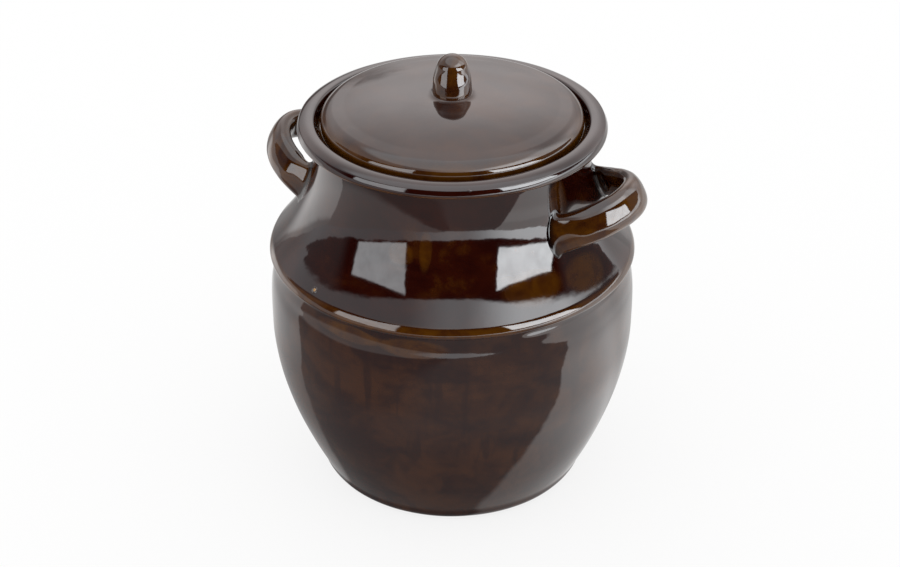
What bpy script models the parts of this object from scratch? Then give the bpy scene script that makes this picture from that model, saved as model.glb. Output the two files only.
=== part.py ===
"""Fermentation crock in brown glazed stoneware, with two loop handles, a dropped-in lid and two weights.

Units are metres, +Z is up, and the origin is the centre of the base. The crock, its lid and the knob are
turned about Z. The handles lie on -X and +X. Heights that follow one another are given as rises, so a
change in one carries everything above it. Run it with: blender --background --python part.py
"""

import math

import bmesh
import bpy
from mathutils import Vector
from mathutils.geometry import interpolate_bezier

# Clearance that separately formed pieces keep where they meet
JOINT_GAP = 0.0003

# Foot and belly of the crock
BASE_RADIUS = 0.0838
HEEL_REACH = 0.0115
HEEL_RISE = 0.009
BELLY_RADIUS = 0.1262
BELLY_RISE = 0.104
BELLY_FULLNESS = 1.7
FOOT_RING_WIDTH = 0.015
FOOT_RECESS = 0.0015

# Throat and overhanging ridge that close the belly
BELLY_TOP_RISE = 0.044
BELLY_TOP_DRAW = 0.0029
BELLY_TOP_FULLNESS = 5
THROAT_RISE = 0.012
THROAT_DRAW = 0.0019
RIDGE_STAND = 0.0025
RIDGE_EDGE = 0.003
RIDGE_LEAN = math.radians(16)
RIDGE_ROUND = 0.0155

# Trumpet-shaped shoulder, straight above the ridge, and neck
SHOULDER_TILT = math.radians(36.5)
SHOULDER_RUN = 0.0104
SHOULDER_RISE = 0.081
NECK_STEP = 0.0011

# Rim: a rounded lip round a sunk ledge on which the lid sits
LIP_FILLET = 0.006
LIP_HEIGHT = 0.0088
LIP_WIDTH = 0.0137
LEDGE_DEPTH = 0.0078
EDGE_ROUND = 0.0015

# Walls of the crock
BELLY_WALL = 0.0095
NECK_WALL = 0.0112
FLOOR_THICKNESS = 0.011
FLOOR_CORNER = 0.012

# Lid and its knob
LID_RADIUS = 0.0882
LID_CLEARANCE = 0.0019
LID_EDGE = 0.0055
LID_EDGE_REACH = 0.009
LID_EDGE_RISE = 0.0062
LID_CROWN = 0.0114
LID_WALL = 0.008
LID_SEAT_WIDTH = 0.011
KNOB_RADIUS = 0.0133
KNOB_SIDE_RADIUS = 0.0128
KNOB_SIDE_RISE = 0.0097
KNOB_TAPER_RISE = 0.0056
KNOB_TOP_RADIUS = 0.011
KNOB_TOP_RISE = 0.0108
KNOB_TOP_TURN = math.radians(16)
KNOB_LAND = 0.0017

# Loop handles, oval in section, that rise outwards from the shoulder
HANDLE_ABOVE_RIDGE = 0.0457
HANDLE_SINK = 0.004
HANDLE_HALF_SPREAD = 0.0422
HANDLE_PROJECTION = 0.043
HANDLE_LIFT = 0.0142
HANDLE_ROOT_RUN = 0.0085
HANDLE_ROOT_DROP = 0.0019
HANDLE_ROOT_TOE_IN = 0.0035
HANDLE_TIP_RUN = 0.0281
HANDLE_WIDTH = 0.0244
HANDLE_THICKNESS = 0.0136
HANDLE_LEAN = math.radians(32)
HANDLE_ROOT_SWELL = 0.16
HANDLE_SWELL_FALLOFF = 6

# Half-moon pressing weights on the crock's floor
WEIGHT_CLEARANCE = 0.004
WEIGHT_THICKNESS = 0.018
WEIGHT_SPLIT = 0.003
WEIGHT_FINGER_RADIUS = 0.012
WEIGHT_EDGE = 0.0025
WEIGHT_EDGE_SPANS = 2

# Facets of the turned and bent forms
CROCK_STEPS = 56
KNOB_STEPS = 32
HEEL_SPANS = 4
BELLY_SPANS = 9
FLOOR_CORNER_SPANS = 4
BELLY_TOP_SPANS = 6
THROAT_SPANS = 3
RIDGE_EDGE_SPANS = 4
CREST_SPANS = 3
INNER_SPANS = 5
SWEEP_SPANS = 7
LIP_SPANS = 7
FILLET_SPANS = 3
CORNER_STEPS = 2
LID_SPANS = 6
LID_EDGE_SPANS = 4
LID_HOLLOW_SPANS = 4
KNOB_TOP_SPANS = 6
HANDLE_SPANS = 10
HANDLE_SECTION_POINTS = 16
WEIGHT_ARC_POINTS = 30
NOTCH_ARC_POINTS = 10

# Meshing of bent forms
WELD_DISTANCE = 0.00001
SHARP_ANGLE = math.radians(40)

# Glaze and bare clay
GLAZE_BROWN = (0.038, 0.0116, 0.0024, 1)
WEIGHT_BUFF = (0.36, 0.27, 0.19, 1)
GLAZE_ROUGHNESS = 0.06
CLAY_ROUGHNESS = 0.75

# Places worked out from the sizes above
HEEL_RADIUS = BASE_RADIUS + HEEL_REACH
BELLY_Z = HEEL_RISE + BELLY_RISE
BELLY_TOP_Z = BELLY_Z + BELLY_TOP_RISE
BELLY_TOP_RADIUS = BELLY_RADIUS - BELLY_TOP_DRAW
THROAT_Z = BELLY_TOP_Z + THROAT_RISE
RIDGE_Z = THROAT_Z + RIDGE_EDGE
RIDGE_RADIUS = BELLY_TOP_RADIUS + RIDGE_STAND
NECK_Z = RIDGE_Z + SHOULDER_RISE
GALLERY_RADIUS = LID_RADIUS + LID_CLEARANCE
NECK_RADIUS = GALLERY_RADIUS + NECK_STEP
MOUTH_RADIUS = NECK_RADIUS - NECK_WALL
LIP_RADIUS = GALLERY_RADIUS + LIP_WIDTH
LIP_Z = NECK_Z + LIP_FILLET
RIM_Z = LIP_Z + LIP_HEIGHT
LEDGE_Z = RIM_Z - LEDGE_DEPTH
LID_Z = LEDGE_Z + JOINT_GAP
LID_TOP_Z = LID_Z + LID_EDGE + LID_EDGE_RISE + LID_CROWN
HANDLE_Z = RIDGE_Z + HANDLE_ABOVE_RIDGE
WEIGHT_RADIUS = MOUTH_RADIUS - WEIGHT_CLEARANCE
WEIGHT_Z = FLOOR_THICKNESS + JOINT_GAP


def arc(center, radii, start, end, spans):
    """Points of an ellipse about center, in (radius, height), from the angle start to end in degrees."""
    angles = [math.radians(start + (end - start) * i / spans) for i in range(spans + 1)]
    return [
        (center[0] + radii[0] * math.cos(a), center[1] + radii[1] * math.sin(a)) for a in angles
    ]


def eased(low, high, spans):
    """Points of a soft S from low to high, upright at both ends, without the first."""
    shares = [i / spans for i in range(1, spans + 1)]
    ease = [share * share * (3 - 2 * share) for share in shares]
    return [
        (low[0] + (high[0] - low[0]) * e, low[1] + (high[1] - low[1]) * share)
        for share, e in zip(shares, ease)
    ]


def rounded(start, corner, end, spans):
    """A soft turn that leaves start and reaches end along the lines through a corner."""
    points = []
    for i in range(spans + 1):
        share = i / spans
        weights = ((1 - share) ** 2, 2 * share * (1 - share), share**2)
        places = (start, corner, end)
        points.append(tuple(sum(w * place[k] for w, place in zip(weights, places)) for k in (0, 1)))
    return points


def belly(wall):
    """The belly's curve from the heel to its widest point, a wall's depth inside the outer face."""
    points = []
    for i in range(BELLY_SPANS + 1):
        share = i / BELLY_SPANS
        swell = 1 - (1 - share) ** BELLY_FULLNESS
        radius = HEEL_RADIUS + (BELLY_RADIUS - HEEL_RADIUS) * swell
        points.append((radius - wall, HEEL_RISE + BELLY_RISE * share))
    return points


def belly_top():
    """The belly's upper part, which draws in faster and faster, then the throat under the ridge."""
    points = []
    for i in range(1, BELLY_TOP_SPANS + 1):
        share = i / BELLY_TOP_SPANS
        radius = BELLY_RADIUS - BELLY_TOP_DRAW * share**BELLY_TOP_FULLNESS
        points.append((radius, BELLY_Z + BELLY_TOP_RISE * share))
    for i in range(1, THROAT_SPANS + 1):
        share = i / THROAT_SPANS
        radius = BELLY_TOP_RADIUS - THROAT_DRAW * (1 - (1 - share) ** 2)
        points.append((radius, BELLY_TOP_Z + THROAT_RISE * share))
    return points


def shoulder(wall):
    """The ridge's crest, the straight run and the hollow sweep to the neck, a wall inside the outer face."""
    inset = RIDGE_ROUND - RIDGE_EDGE
    crest_radius = RIDGE_RADIUS - RIDGE_EDGE - inset * math.cos(RIDGE_LEAN)
    crest_center = (crest_radius, RIDGE_Z - inset * math.sin(RIDGE_LEAN))
    turn_radius = crest_center[0] + RIDGE_ROUND * math.cos(SHOULDER_TILT)
    turn_z = crest_center[1] + RIDGE_ROUND * math.sin(SHOULDER_TILT)
    run_radius = turn_radius - SHOULDER_RUN * math.tan(SHOULDER_TILT)
    run_z = turn_z + SHOULDER_RUN
    neck_tilt = 2 * math.atan2(run_radius - NECK_RADIUS, NECK_Z - run_z) - SHOULDER_TILT
    sweep_radius = (NECK_Z - run_z) / (math.sin(SHOULDER_TILT) - math.sin(neck_tilt))
    sweep_center = (
        run_radius + sweep_radius * math.cos(SHOULDER_TILT),
        run_z + sweep_radius * math.sin(SHOULDER_TILT),
    )
    lean = math.degrees(RIDGE_LEAN)
    tilt = math.degrees(SHOULDER_TILT)
    crest_round = max(RIDGE_ROUND - wall, EDGE_ROUND)
    crest = arc(crest_center, (crest_round, crest_round), lean, tilt, CREST_SPANS)
    sweep_round = (sweep_radius + wall, sweep_radius + wall)
    sweep_end = 180 + math.degrees(neck_tilt)
    return crest + arc(sweep_center, sweep_round, 180 + tilt, sweep_end, SWEEP_SPANS)


def outer_face():
    """The crock's outer face from the base's edge up to the neck, with the ridge that overhangs the throat."""
    heel = arc((BASE_RADIUS, HEEL_RISE), (HEEL_REACH, HEEL_RISE), -90, 0, HEEL_SPANS)
    edge_center = (RIDGE_RADIUS - RIDGE_EDGE, RIDGE_Z)
    edge = arc(edge_center, (RIDGE_EDGE, RIDGE_EDGE), -90, math.degrees(RIDGE_LEAN), RIDGE_EDGE_SPANS)
    return heel + belly(0)[1:] + belly_top() + edge + shoulder(0)[1:]


def inner_face():
    """The crock's inner face from the centre of the floor up to the mouth."""
    corner_top = FLOOR_THICKNESS + FLOOR_CORNER
    side = [point for point in belly(BELLY_WALL) if point[1] > corner_top]
    slope = (side[1][0] - side[0][0]) / (side[1][1] - side[0][1])
    corner_radius = side[0][0] - slope * (side[0][1] - FLOOR_THICKNESS)
    start = (corner_radius - FLOOR_CORNER, FLOOR_THICKNESS)
    corner = rounded(start, (corner_radius, FLOOR_THICKNESS), side[0], FLOOR_CORNER_SPANS)
    upper = shoulder(NECK_WALL)
    return [(0, FLOOR_THICKNESS)] + corner + side[1:] + eased(side[-1], upper[0], INNER_SPANS) + upper[1:]


def crock_profile():
    """The crock's section: up the inside, over the rim and down the outside."""
    lip_round = LIP_HEIGHT / 2
    edge = (EDGE_ROUND, EDGE_ROUND)
    mouth = inner_face()
    ledge_center = (mouth[-1][0] + EDGE_ROUND, LEDGE_Z - EDGE_ROUND)
    points = mouth + arc(ledge_center, edge, 180, 90, CORNER_STEPS)
    points.append((GALLERY_RADIUS, LEDGE_Z))
    points += arc((GALLERY_RADIUS + EDGE_ROUND, RIM_Z - EDGE_ROUND), edge, 180, 90, CORNER_STEPS)
    lip_center = (LIP_RADIUS - lip_round, LIP_Z + lip_round)
    points += arc(lip_center, (lip_round, lip_round), 90, -90, LIP_SPANS)
    fillet_center = (NECK_RADIUS + LIP_FILLET, NECK_Z)
    points += arc(fillet_center, (LIP_FILLET, LIP_FILLET), 90, 180, FILLET_SPANS)
    points += outer_face()[-2::-1]
    points.append((BASE_RADIUS - FOOT_RING_WIDTH, 0))
    points.append((BASE_RADIUS - FOOT_RING_WIDTH - FOOT_RECESS, FOOT_RECESS))
    points.append((0, FOOT_RECESS))
    return points


def lid_profile():
    """The lid's section: down over the low crown and the rounded edge, then in under the flat seat."""
    land = KNOB_RADIUS + KNOB_LAND
    crown_radius = LID_RADIUS - LID_EDGE_REACH
    crown_run = crown_radius - land

    def crown(radius):
        share = max(radius - land, 0) / crown_run
        return LID_TOP_Z - LID_CROWN * share * share

    points = [(0, LID_TOP_Z)]
    for i in range(LID_SPANS):
        radius = land + crown_run * i / LID_SPANS
        points.append((radius, crown(radius)))
    crown_slope = 2 * LID_CROWN / crown_run
    edge_turn = math.degrees(math.atan2(LID_EDGE_RISE, LID_EDGE_REACH * crown_slope))
    edge_center = (crown_radius, LID_Z + LID_EDGE)
    points += arc(edge_center, (LID_EDGE_REACH, LID_EDGE_RISE), edge_turn, 0, LID_EDGE_SPANS)
    seat_center = (LID_RADIUS - EDGE_ROUND, LID_Z + EDGE_ROUND)
    points += arc(seat_center, (EDGE_ROUND, EDGE_ROUND), 0, -90, CORNER_STEPS)
    hollow_radius = LID_RADIUS - LID_SEAT_WIDTH
    points.append((hollow_radius, LID_Z))
    for i in range(LID_HOLLOW_SPANS + 1):
        radius = hollow_radius * (1 - i / LID_HOLLOW_SPANS)
        points.append((radius, crown(radius) - LID_WALL))
    return points


def knob_profile():
    """The knob's section: an upright side that tapers into a round top."""
    foot_z = LID_TOP_Z + JOINT_GAP
    side_z = foot_z + KNOB_SIDE_RISE
    top_center = (0, side_z + KNOB_TAPER_RISE)
    turn = math.degrees(KNOB_TOP_TURN)
    dome = arc(top_center, (KNOB_TOP_RADIUS, KNOB_TOP_RISE), 90, turn, KNOB_TOP_SPANS)
    side = [(KNOB_SIDE_RADIUS, side_z), (KNOB_RADIUS, foot_z + EDGE_ROUND)]
    foot = [(KNOB_RADIUS - EDGE_ROUND, foot_z), (0, foot_z)]
    return [(0, dome[0][1])] + dome[1:] + side + foot


def grown(points, by):
    """The points of an outer face moved out by a clearance."""
    moved = []
    for i, point in enumerate(points):
        before = Vector(points[max(i - 1, 0)])
        after = Vector(points[min(i + 1, len(points) - 1)])
        along = (after - before).normalized()
        moved.append((point[0] + along.y * by, point[1] - along.x * by))
    return moved


def radius_at(points, height):
    """The radius of an outer face at a height."""
    for (low_radius, low), (high_radius, high) in zip(points, points[1:]):
        if low <= height <= high:
            return low_radius + (high_radius - low_radius) * (height - low) / (high - low)
    return points[-1][0]


def glaze(name, color, roughness):
    """A Principled material of one color and roughness."""
    material = bpy.data.materials.new(name)
    material.use_nodes = True
    material.diffuse_color = color
    shader = material.node_tree.nodes["Principled BSDF"]
    shader.inputs["Base Color"].default_value = color
    shader.inputs["Roughness"].default_value = roughness
    return material


def turned(name, profile, steps, collection):
    """A solid turned about Z from a section that starts and ends on the axis."""
    mesh = bpy.data.meshes.new(name)
    mesh.from_pydata(
        [(radius, 0, height) for radius, height in profile],
        [(i, i + 1) for i in range(len(profile) - 1)],
        [],
    )
    piece = bpy.data.objects.new(name, mesh)
    collection.objects.link(piece)
    screw = piece.modifiers.new("Turn", "SCREW")
    screw.steps = steps
    screw.render_steps = steps
    screw.use_merge_vertices = True
    screw.merge_threshold = WELD_DISTANCE
    screw.use_smooth_shade = True
    return piece


def meshed(curve_object, collection):
    """The curve's evaluated shape as a mesh object in its place, its caps welded."""
    bpy.context.view_layer.update()
    graph = bpy.context.evaluated_depsgraph_get()
    mesh = bpy.data.meshes.new_from_object(curve_object.evaluated_get(graph))
    work = bmesh.new()
    work.from_mesh(mesh)
    bmesh.ops.remove_doubles(work, verts=work.verts, dist=WELD_DISTANCE)
    bmesh.ops.recalc_face_normals(work, faces=work.faces)
    work.to_mesh(mesh)
    work.free()
    mesh.shade_smooth()
    mesh.set_sharp_from_angle(angle=SHARP_ANGLE)
    piece = bpy.data.objects.new(curve_object.name, mesh)
    piece.matrix_world = curve_object.matrix_world.copy()
    collection.objects.link(piece)
    bpy.data.objects.remove(curve_object)
    piece.name = mesh.name
    return piece


def handle_section(collection):
    """The handle's oval section, a guide that the handle's curve is swept with."""
    curve = bpy.data.curves.new("handle_section", "CURVE")
    spline = curve.splines.new("POLY")
    spline.points.add(HANDLE_SECTION_POINTS - 1)
    spline.use_cyclic_u = True
    for i, point in enumerate(spline.points):
        turn = 2 * math.pi * i / HANDLE_SECTION_POINTS
        x = HANDLE_THICKNESS / 2 * math.cos(turn)
        y = HANDLE_WIDTH / 2 * math.sin(turn)
        point.co = (x, y, 0, 1)
    guide = bpy.data.objects.new("handle_section", curve)
    guide.hide_render = True
    guide.display_type = "WIRE"
    collection.objects.link(guide)
    return guide


def handle_route(face):
    """The middle line of the handle on +X, from one root in the wall round to the other."""
    root_radius = radius_at(face, HANDLE_Z) - HANDLE_SINK
    root = Vector((math.sqrt(root_radius**2 - HANDLE_HALF_SPREAD**2), HANDLE_HALF_SPREAD, HANDLE_Z))
    tip = Vector((root.x + HANDLE_PROJECTION, 0, HANDLE_Z + HANDLE_LIFT))
    root_pull = root + Vector((HANDLE_ROOT_RUN, -HANDLE_ROOT_TOE_IN, -HANDLE_ROOT_DROP))
    tip_pull = tip + Vector((0, HANDLE_TIP_RUN, 0))
    half = interpolate_bezier(root, root_pull, tip_pull, tip, HANDLE_SPANS + 1)
    other = [Vector((point.x, -point.y, point.z)) for point in half[-2::-1]]
    return half + other


def loop_handle(face, section, collection):
    """The handle on +X, still reaching into the wall."""
    route = handle_route(face)
    curve = bpy.data.curves.new("handle_right", "CURVE")
    curve.dimensions = "3D"
    curve.twist_mode = "Z_UP"
    curve.bevel_mode = "OBJECT"
    curve.bevel_object = section
    curve.use_fill_caps = True
    spline = curve.splines.new("POLY")
    spline.points.add(len(route) - 1)
    for i, (point, place) in enumerate(zip(spline.points, route)):
        from_middle = abs(2 * i / (len(route) - 1) - 1)
        point.co = (*place, 1)
        point.radius = 1 + HANDLE_ROOT_SWELL * from_middle**HANDLE_SWELL_FALLOFF
        point.tilt = HANDLE_LEAN
    handle = bpy.data.objects.new("handle_right", curve)
    collection.objects.link(handle)
    return meshed(handle, collection)


def weight_outline():
    """A half disc on +X with a half-round finger notch in its straight side."""
    side = WEIGHT_SPLIT / 2
    start = math.degrees(math.asin(side / WEIGHT_RADIUS))
    rim = arc((0, 0), (WEIGHT_RADIUS, WEIGHT_RADIUS), start - 90, 90 - start, WEIGHT_ARC_POINTS)
    lean = math.degrees(math.asin(side / WEIGHT_FINGER_RADIUS))
    notch_radii = (WEIGHT_FINGER_RADIUS, WEIGHT_FINGER_RADIUS)
    notch = arc((0, 0), notch_radii, 90 - lean, lean - 90, NOTCH_ARC_POINTS)
    return rim + notch


def half_moon_weight(collection):
    """The weight on +X, lying on the crock's floor."""
    outline = weight_outline()
    curve = bpy.data.curves.new("weight_right", "CURVE")
    curve.dimensions = "2D"
    curve.fill_mode = "BOTH"
    curve.extrude = WEIGHT_THICKNESS / 2
    spline = curve.splines.new("POLY")
    spline.points.add(len(outline) - 1)
    spline.use_cyclic_u = True
    for point, place in zip(spline.points, outline):
        point.co = (*place, 0, 1)
    flat = bpy.data.objects.new("weight_right", curve)
    flat.location.z = WEIGHT_Z + WEIGHT_THICKNESS / 2
    collection.objects.link(flat)
    weight = meshed(flat, collection)
    edge = weight.modifiers.new("Worn edges", "BEVEL")
    edge.width = WEIGHT_EDGE
    edge.segments = WEIGHT_EDGE_SPANS
    edge.limit_method = "ANGLE"
    edge.angle_limit = SHARP_ANGLE
    return weight


def half_turned_copy(piece, name, collection):
    """A second object on the same mesh and modifiers, half a turn round Z."""
    copy = piece.copy()
    copy.name = name
    copy.rotation_euler.z = math.pi
    collection.objects.link(copy)
    return copy


def build():
    """Models every piece at rest, each on the object that carries it."""
    for old in list(bpy.data.objects):
        bpy.data.objects.remove(old)
    parts = bpy.data.collections.new("fermentation_crock")
    cutters = bpy.data.collections.new("cutters")
    for collection in (parts, cutters):
        bpy.context.scene.collection.children.link(collection)

    face = outer_face()
    crock = turned("crock_body", crock_profile(), CROCK_STEPS, parts)
    lid = turned("lid", lid_profile(), CROCK_STEPS, parts)
    knob = turned("lid_knob", knob_profile(), KNOB_STEPS, parts)

    wall = grown(face, JOINT_GAP)
    wall_section = [(0, wall[-1][1])] + wall[::-1] + [(0, wall[0][1])]
    wall_cutter = turned("wall_cutter", wall_section, CROCK_STEPS, cutters)
    wall_cutter.hide_render = True
    wall_cutter.display_type = "WIRE"
    handle_right = loop_handle(face, handle_section(cutters), parts)
    trim = handle_right.modifiers.new("Seat on the shoulder", "BOOLEAN")
    trim.operation = "DIFFERENCE"
    trim.object = wall_cutter
    handle_left = half_turned_copy(handle_right, "handle_left", parts)

    weight_right = half_moon_weight(parts)
    weight_left = half_turned_copy(weight_right, "weight_left", parts)

    brown = glaze("brown_glaze", GLAZE_BROWN, GLAZE_ROUGHNESS)
    buff = glaze("bare_stoneware", WEIGHT_BUFF, CLAY_ROUGHNESS)
    for piece in (crock, lid, knob, handle_right):
        piece.data.materials.append(brown)
    weight_right.data.materials.append(buff)

    for piece, carrier in ((knob, lid), (handle_left, crock), (handle_right, crock)):
        piece.parent = carrier


build()
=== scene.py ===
"""Fermentation crock: the glazed and fired looks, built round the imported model.

The file is laid out as a Blender add-on and run as a script. Each operator makes one piece, or one group of
like pieces, from the sizes in its property group. Units are metres and +Z is up.
"""

import math

import bmesh
import bpy
from mathutils import Matrix, Vector
from mathutils.geometry import interpolate_bezier


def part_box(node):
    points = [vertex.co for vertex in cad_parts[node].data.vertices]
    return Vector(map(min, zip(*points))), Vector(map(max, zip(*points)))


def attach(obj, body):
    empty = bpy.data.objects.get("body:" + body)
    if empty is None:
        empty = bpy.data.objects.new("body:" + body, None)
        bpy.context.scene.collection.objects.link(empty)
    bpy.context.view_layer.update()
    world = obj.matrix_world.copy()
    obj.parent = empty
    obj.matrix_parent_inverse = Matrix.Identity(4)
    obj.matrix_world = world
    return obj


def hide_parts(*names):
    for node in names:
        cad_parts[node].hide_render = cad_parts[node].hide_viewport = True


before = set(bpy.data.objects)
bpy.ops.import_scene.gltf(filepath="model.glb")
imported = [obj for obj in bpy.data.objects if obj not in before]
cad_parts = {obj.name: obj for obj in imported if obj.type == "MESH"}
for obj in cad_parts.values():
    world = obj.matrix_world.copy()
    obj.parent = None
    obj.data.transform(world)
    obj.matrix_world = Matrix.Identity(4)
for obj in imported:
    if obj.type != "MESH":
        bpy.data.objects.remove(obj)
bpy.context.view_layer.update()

bl_info = {
    "name": "Fermentation crock",
    "version": (1, 0, 0),
    "blender": (4, 5, 0),
    "location": "3D View > Sidebar > Crock",
    "description": "Makes a brown glazed fermentation crock with its lid and weights",
    "category": "Add Mesh",
}

# What the frame settles
CROCK_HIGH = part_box("crock_body")[1]
LID_LOW, LID_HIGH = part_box("lid")
KNOB_LOW, KNOB_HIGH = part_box("lid_knob")
WEIGHT_LOW, WEIGHT_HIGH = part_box("weight_right")

# How finely the pieces are turned, swept and drawn
CROCK_STEPS = 256
KNOB_STEPS = 96
HANDLE_STATIONS = 44
HANDLE_SIDES = 40
WELD_DISTANCE = 1e-6
SHARP_ANGLE = math.radians(35)

# How the camera stands to the crock
CAMERA_AZIMUTH = math.radians(23.3)
CAMERA_ELEVATION = math.radians(31.27)

# Across the studio to the right, out towards the camera, and up
ACROSS = (math.cos(CAMERA_AZIMUTH), math.sin(CAMERA_AZIMUTH), 0)
TOWARDS = (math.sin(CAMERA_AZIMUTH), -math.cos(CAMERA_AZIMUTH), 0)
UP = (0, 0, 1)

# Where the pot's glaze has run thin besides its edges: how thin, then the middle as (degrees round to the
# right from the camera's side, height), then the reach round and up
AMBER_PATCHES = (
    (0.8, (-33, 0.1612), (12, 0.005)),
    (0.8, (-12, 0.1602), (10, 0.006)),
    (0.5, (-19, 0.2155), (5, 0.007)),
    (0.5, (-10, 0.2190), (2.5, 0.012)),
    (0.6, (28, 0.1930), (11, 0.010)),
    (0.6, (50, 0.1900), (9, 0.010)),
    (0.6, (47, 0.2380), (5, 0.013)),
)

# Pinholes in the pot's glaze: degrees round to the right from the camera's side, height and radius
PINHOLES = (
    (-48, 0.1808, 0.0016),
    (6, 0.2662, 0.0012),
)


def size(name, description, default):
    """A length that a user may change."""
    return bpy.props.FloatProperty(
        name=name, description=description, default=default, unit="LENGTH", precision=4
    )


def angle(name, description, degrees):
    """An angle that a user may change."""
    return bpy.props.FloatProperty(
        name=name, description=description, default=math.radians(degrees), subtype="ANGLE"
    )


def share(name, description, default):
    """A factor from 0 to 1 that a user may change."""
    return bpy.props.FloatProperty(
        name=name, description=description, default=default, min=0, max=1, subtype="FACTOR"
    )


def paint(name, description, default):
    """A linear colour that a user may change."""
    return bpy.props.FloatVectorProperty(
        name=name, description=description, default=default, size=3, min=0, max=1, subtype="COLOR"
    )


class CrockSizes(bpy.types.PropertyGroup):
    """The crock's turned wall."""

    base_radius: size("Base radius", "Radius of the flat base", 0.0838)
    heel_reach: size("Heel reach", "How far the rounded heel swells past the base", 0.0115)
    heel_rise: size("Heel rise", "Height of the rounded heel", 0.009)
    belly_radius: size("Belly radius", "Widest radius of the pot", CROCK_HIGH.x)
    belly_rise: size("Belly rise", "Height from the heel to the widest point", 0.104)
    belly_top_rise: size("Belly top rise", "Height from the widest point to the belly's top", 0.044)
    belly_top_draw: size("Belly top draw", "How far the belly draws in at its top", 0.0029)
    throat_rise: size("Throat rise", "Height of the throat under the ridge", 0.012)
    throat_draw: size("Throat draw", "How far the throat draws in", 0.0019)
    ridge_stand: size("Ridge stand", "How far the ridge stands out past the belly's top", 0.0025)
    ridge_edge: size("Ridge edge", "Radius of the ridge's lower edge", 0.003)
    ridge_lean: angle("Ridge lean", "Lean of the wall where the ridge's edge meets its crest", 16)
    ridge_round: size("Ridge round", "Radius of the ridge's crest", 0.0155)
    shoulder_tilt: angle("Shoulder tilt", "Lean of the shoulder where it leaves the ridge", 36.5)
    shoulder_run: size("Shoulder run", "Height of the shoulder's lower part", 0.0104)
    shoulder_bend: angle("Shoulder bend", "How much the shoulder flattens along its lower part", 3.2)
    shoulder_rise: size("Shoulder rise", "Height from the ridge to the neck", 0.081)
    neck_radius: size("Neck radius", "Outer radius of the neck", 0.0912)
    lip_fillet: size("Lip fillet", "Radius of the hollow under the lip", 0.006)
    lip_height: size("Lip height", "Height of the round lip", 0.0088)
    lip_radius: size("Lip radius", "Outer radius of the lip", 0.1038)
    lip_under: size("Lip under", "Radius of the lip's lower edge", 0.0025)
    lip_lean: angle("Lip lean", "Lean of the lip's outer face", 26)
    lip_face: size("Lip face", "Height of the lip's outer face", 0.0026)
    ledge_depth: size("Ledge depth", "How far the lid's ledge lies below the rim", 0.0078)
    gallery_radius: size("Gallery radius", "Radius of the rim's opening round the lid", 0.0894)
    mouth_radius: size("Mouth radius", "Inner radius of the mouth", 0.0800)
    edge_round: size("Edge round", "Radius of the small rounded edges", 0.0015)
    belly_wall: size("Belly wall", "Wall of the belly", 0.0095)
    floor_thickness: size("Floor thickness", "Thickness of the floor", 0.011)
    floor_corner: size("Floor corner", "Round where the floor meets the wall", 0.012)
    foot_ring_width: size("Foot ring width", "Width of the ring that the crock stands on", 0.015)
    foot_recess: size("Foot recess", "Depth of the hollow inside the foot ring", 0.0015)
    unevenness: size("Unevenness", "How far the turned wall wanders from a true form", 0.0005)


class LidSizes(bpy.types.PropertyGroup):
    """The lid and its knob."""

    radius: size("Lid radius", "Radius of the lid", LID_HIGH.x - 0.0003)
    edge: size("Edge height", "Height of the lid's upright edge", 0.0055)
    edge_reach: size("Edge reach", "Width of the rounded shoulder of the lid", 0.0130)
    edge_rise: size("Edge rise", "Height of the rounded shoulder of the lid", 0.0098)
    crown: size("Crown", "Height of the low dome", 0.0078)
    land: size("Land", "Radius of the flat that carries the knob", 0.015)
    wall: size("Wall", "Thickness of the lid", 0.008)
    seat_width: size("Seat width", "Width of the ring that the lid sits on", 0.011)
    edge_round: size("Edge round", "Radius of the small rounded edges", 0.0015)
    knob_radius: size("Knob radius", "Radius of the knob near its foot", 0.0133)
    knob_side_radius: size("Knob side radius", "Radius of the knob where it begins to taper", 0.0127)
    knob_side_rise: size("Knob side rise", "Height of the knob's upright side", 0.0097)
    knob_taper_rise: size("Knob taper rise", "Height from there to the middle of the round top", 0.0056)
    knob_top_radius: size("Knob top radius", "Radius of the knob's round top", 0.0109)
    knob_lean: angle("Knob lean", "Lean of the knob, which was set on by hand", 12)
    foot_swell: size("Foot swell", "Height of the clay that swells round the knob's foot", 0.001)
    foot_run: size("Foot run", "Width of the clay that swells round the knob's foot", 0.0042)


class HandleSizes(bpy.types.PropertyGroup):
    """The two loop handles."""

    height: size("Height", "Height of the roots", 0.2177)
    sink: size("Sink", "How deep the roots reach into the wall", 0.004)
    half_spread: size("Half spread", "Half the distance between the roots", 0.0422)
    projection: size("Projection", "How far the loop stands out", 0.0428)
    lift: size("Lift", "How far the loop rises outwards", 0.0142)
    root_run: size("Root run", "How far the loop leaves the wall straight", 0.0085)
    root_toe_in: size("Root toe in", "How far the loop leans inwards where it leaves the wall", 0.0035)
    root_drop: size("Root drop", "How far the loop drops where it leaves the wall", 0.0019)
    tip_run: size("Tip run", "Half the straight part of the grip", 0.0281)
    width: size("Width", "Width of the strap", 0.0244)
    thickness: size("Thickness", "Thickness of the strap", 0.0136)
    lean: angle("Lean", "Lean of the strap towards the pot", 27)
    flatness: bpy.props.FloatProperty(
        name="Flatness", description="2 for an oval strap, more for flatter faces", default=2.6
    )
    root_swell: share("Root swell", "How much the strap swells at its roots", 0.2)
    settle: size("Settle", "How far out the strap's rings turn to lie along the wall", 0.014)
    fillet: size("Fillet", "Round of clay and glaze where the strap joins the wall", 0.003)


class WeightSizes(bpy.types.PropertyGroup):
    """The half-moon pressing weights."""

    radius: size("Radius", "Radius of the pair of weights", 0.076)
    split: size("Split", "Gap between the two weights", 2 * WEIGHT_LOW.x)
    finger_radius: size("Finger radius", "Radius of the finger hole", 0.012)
    edge: size("Edge", "Round of the worn edges", 0.0025)


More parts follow.
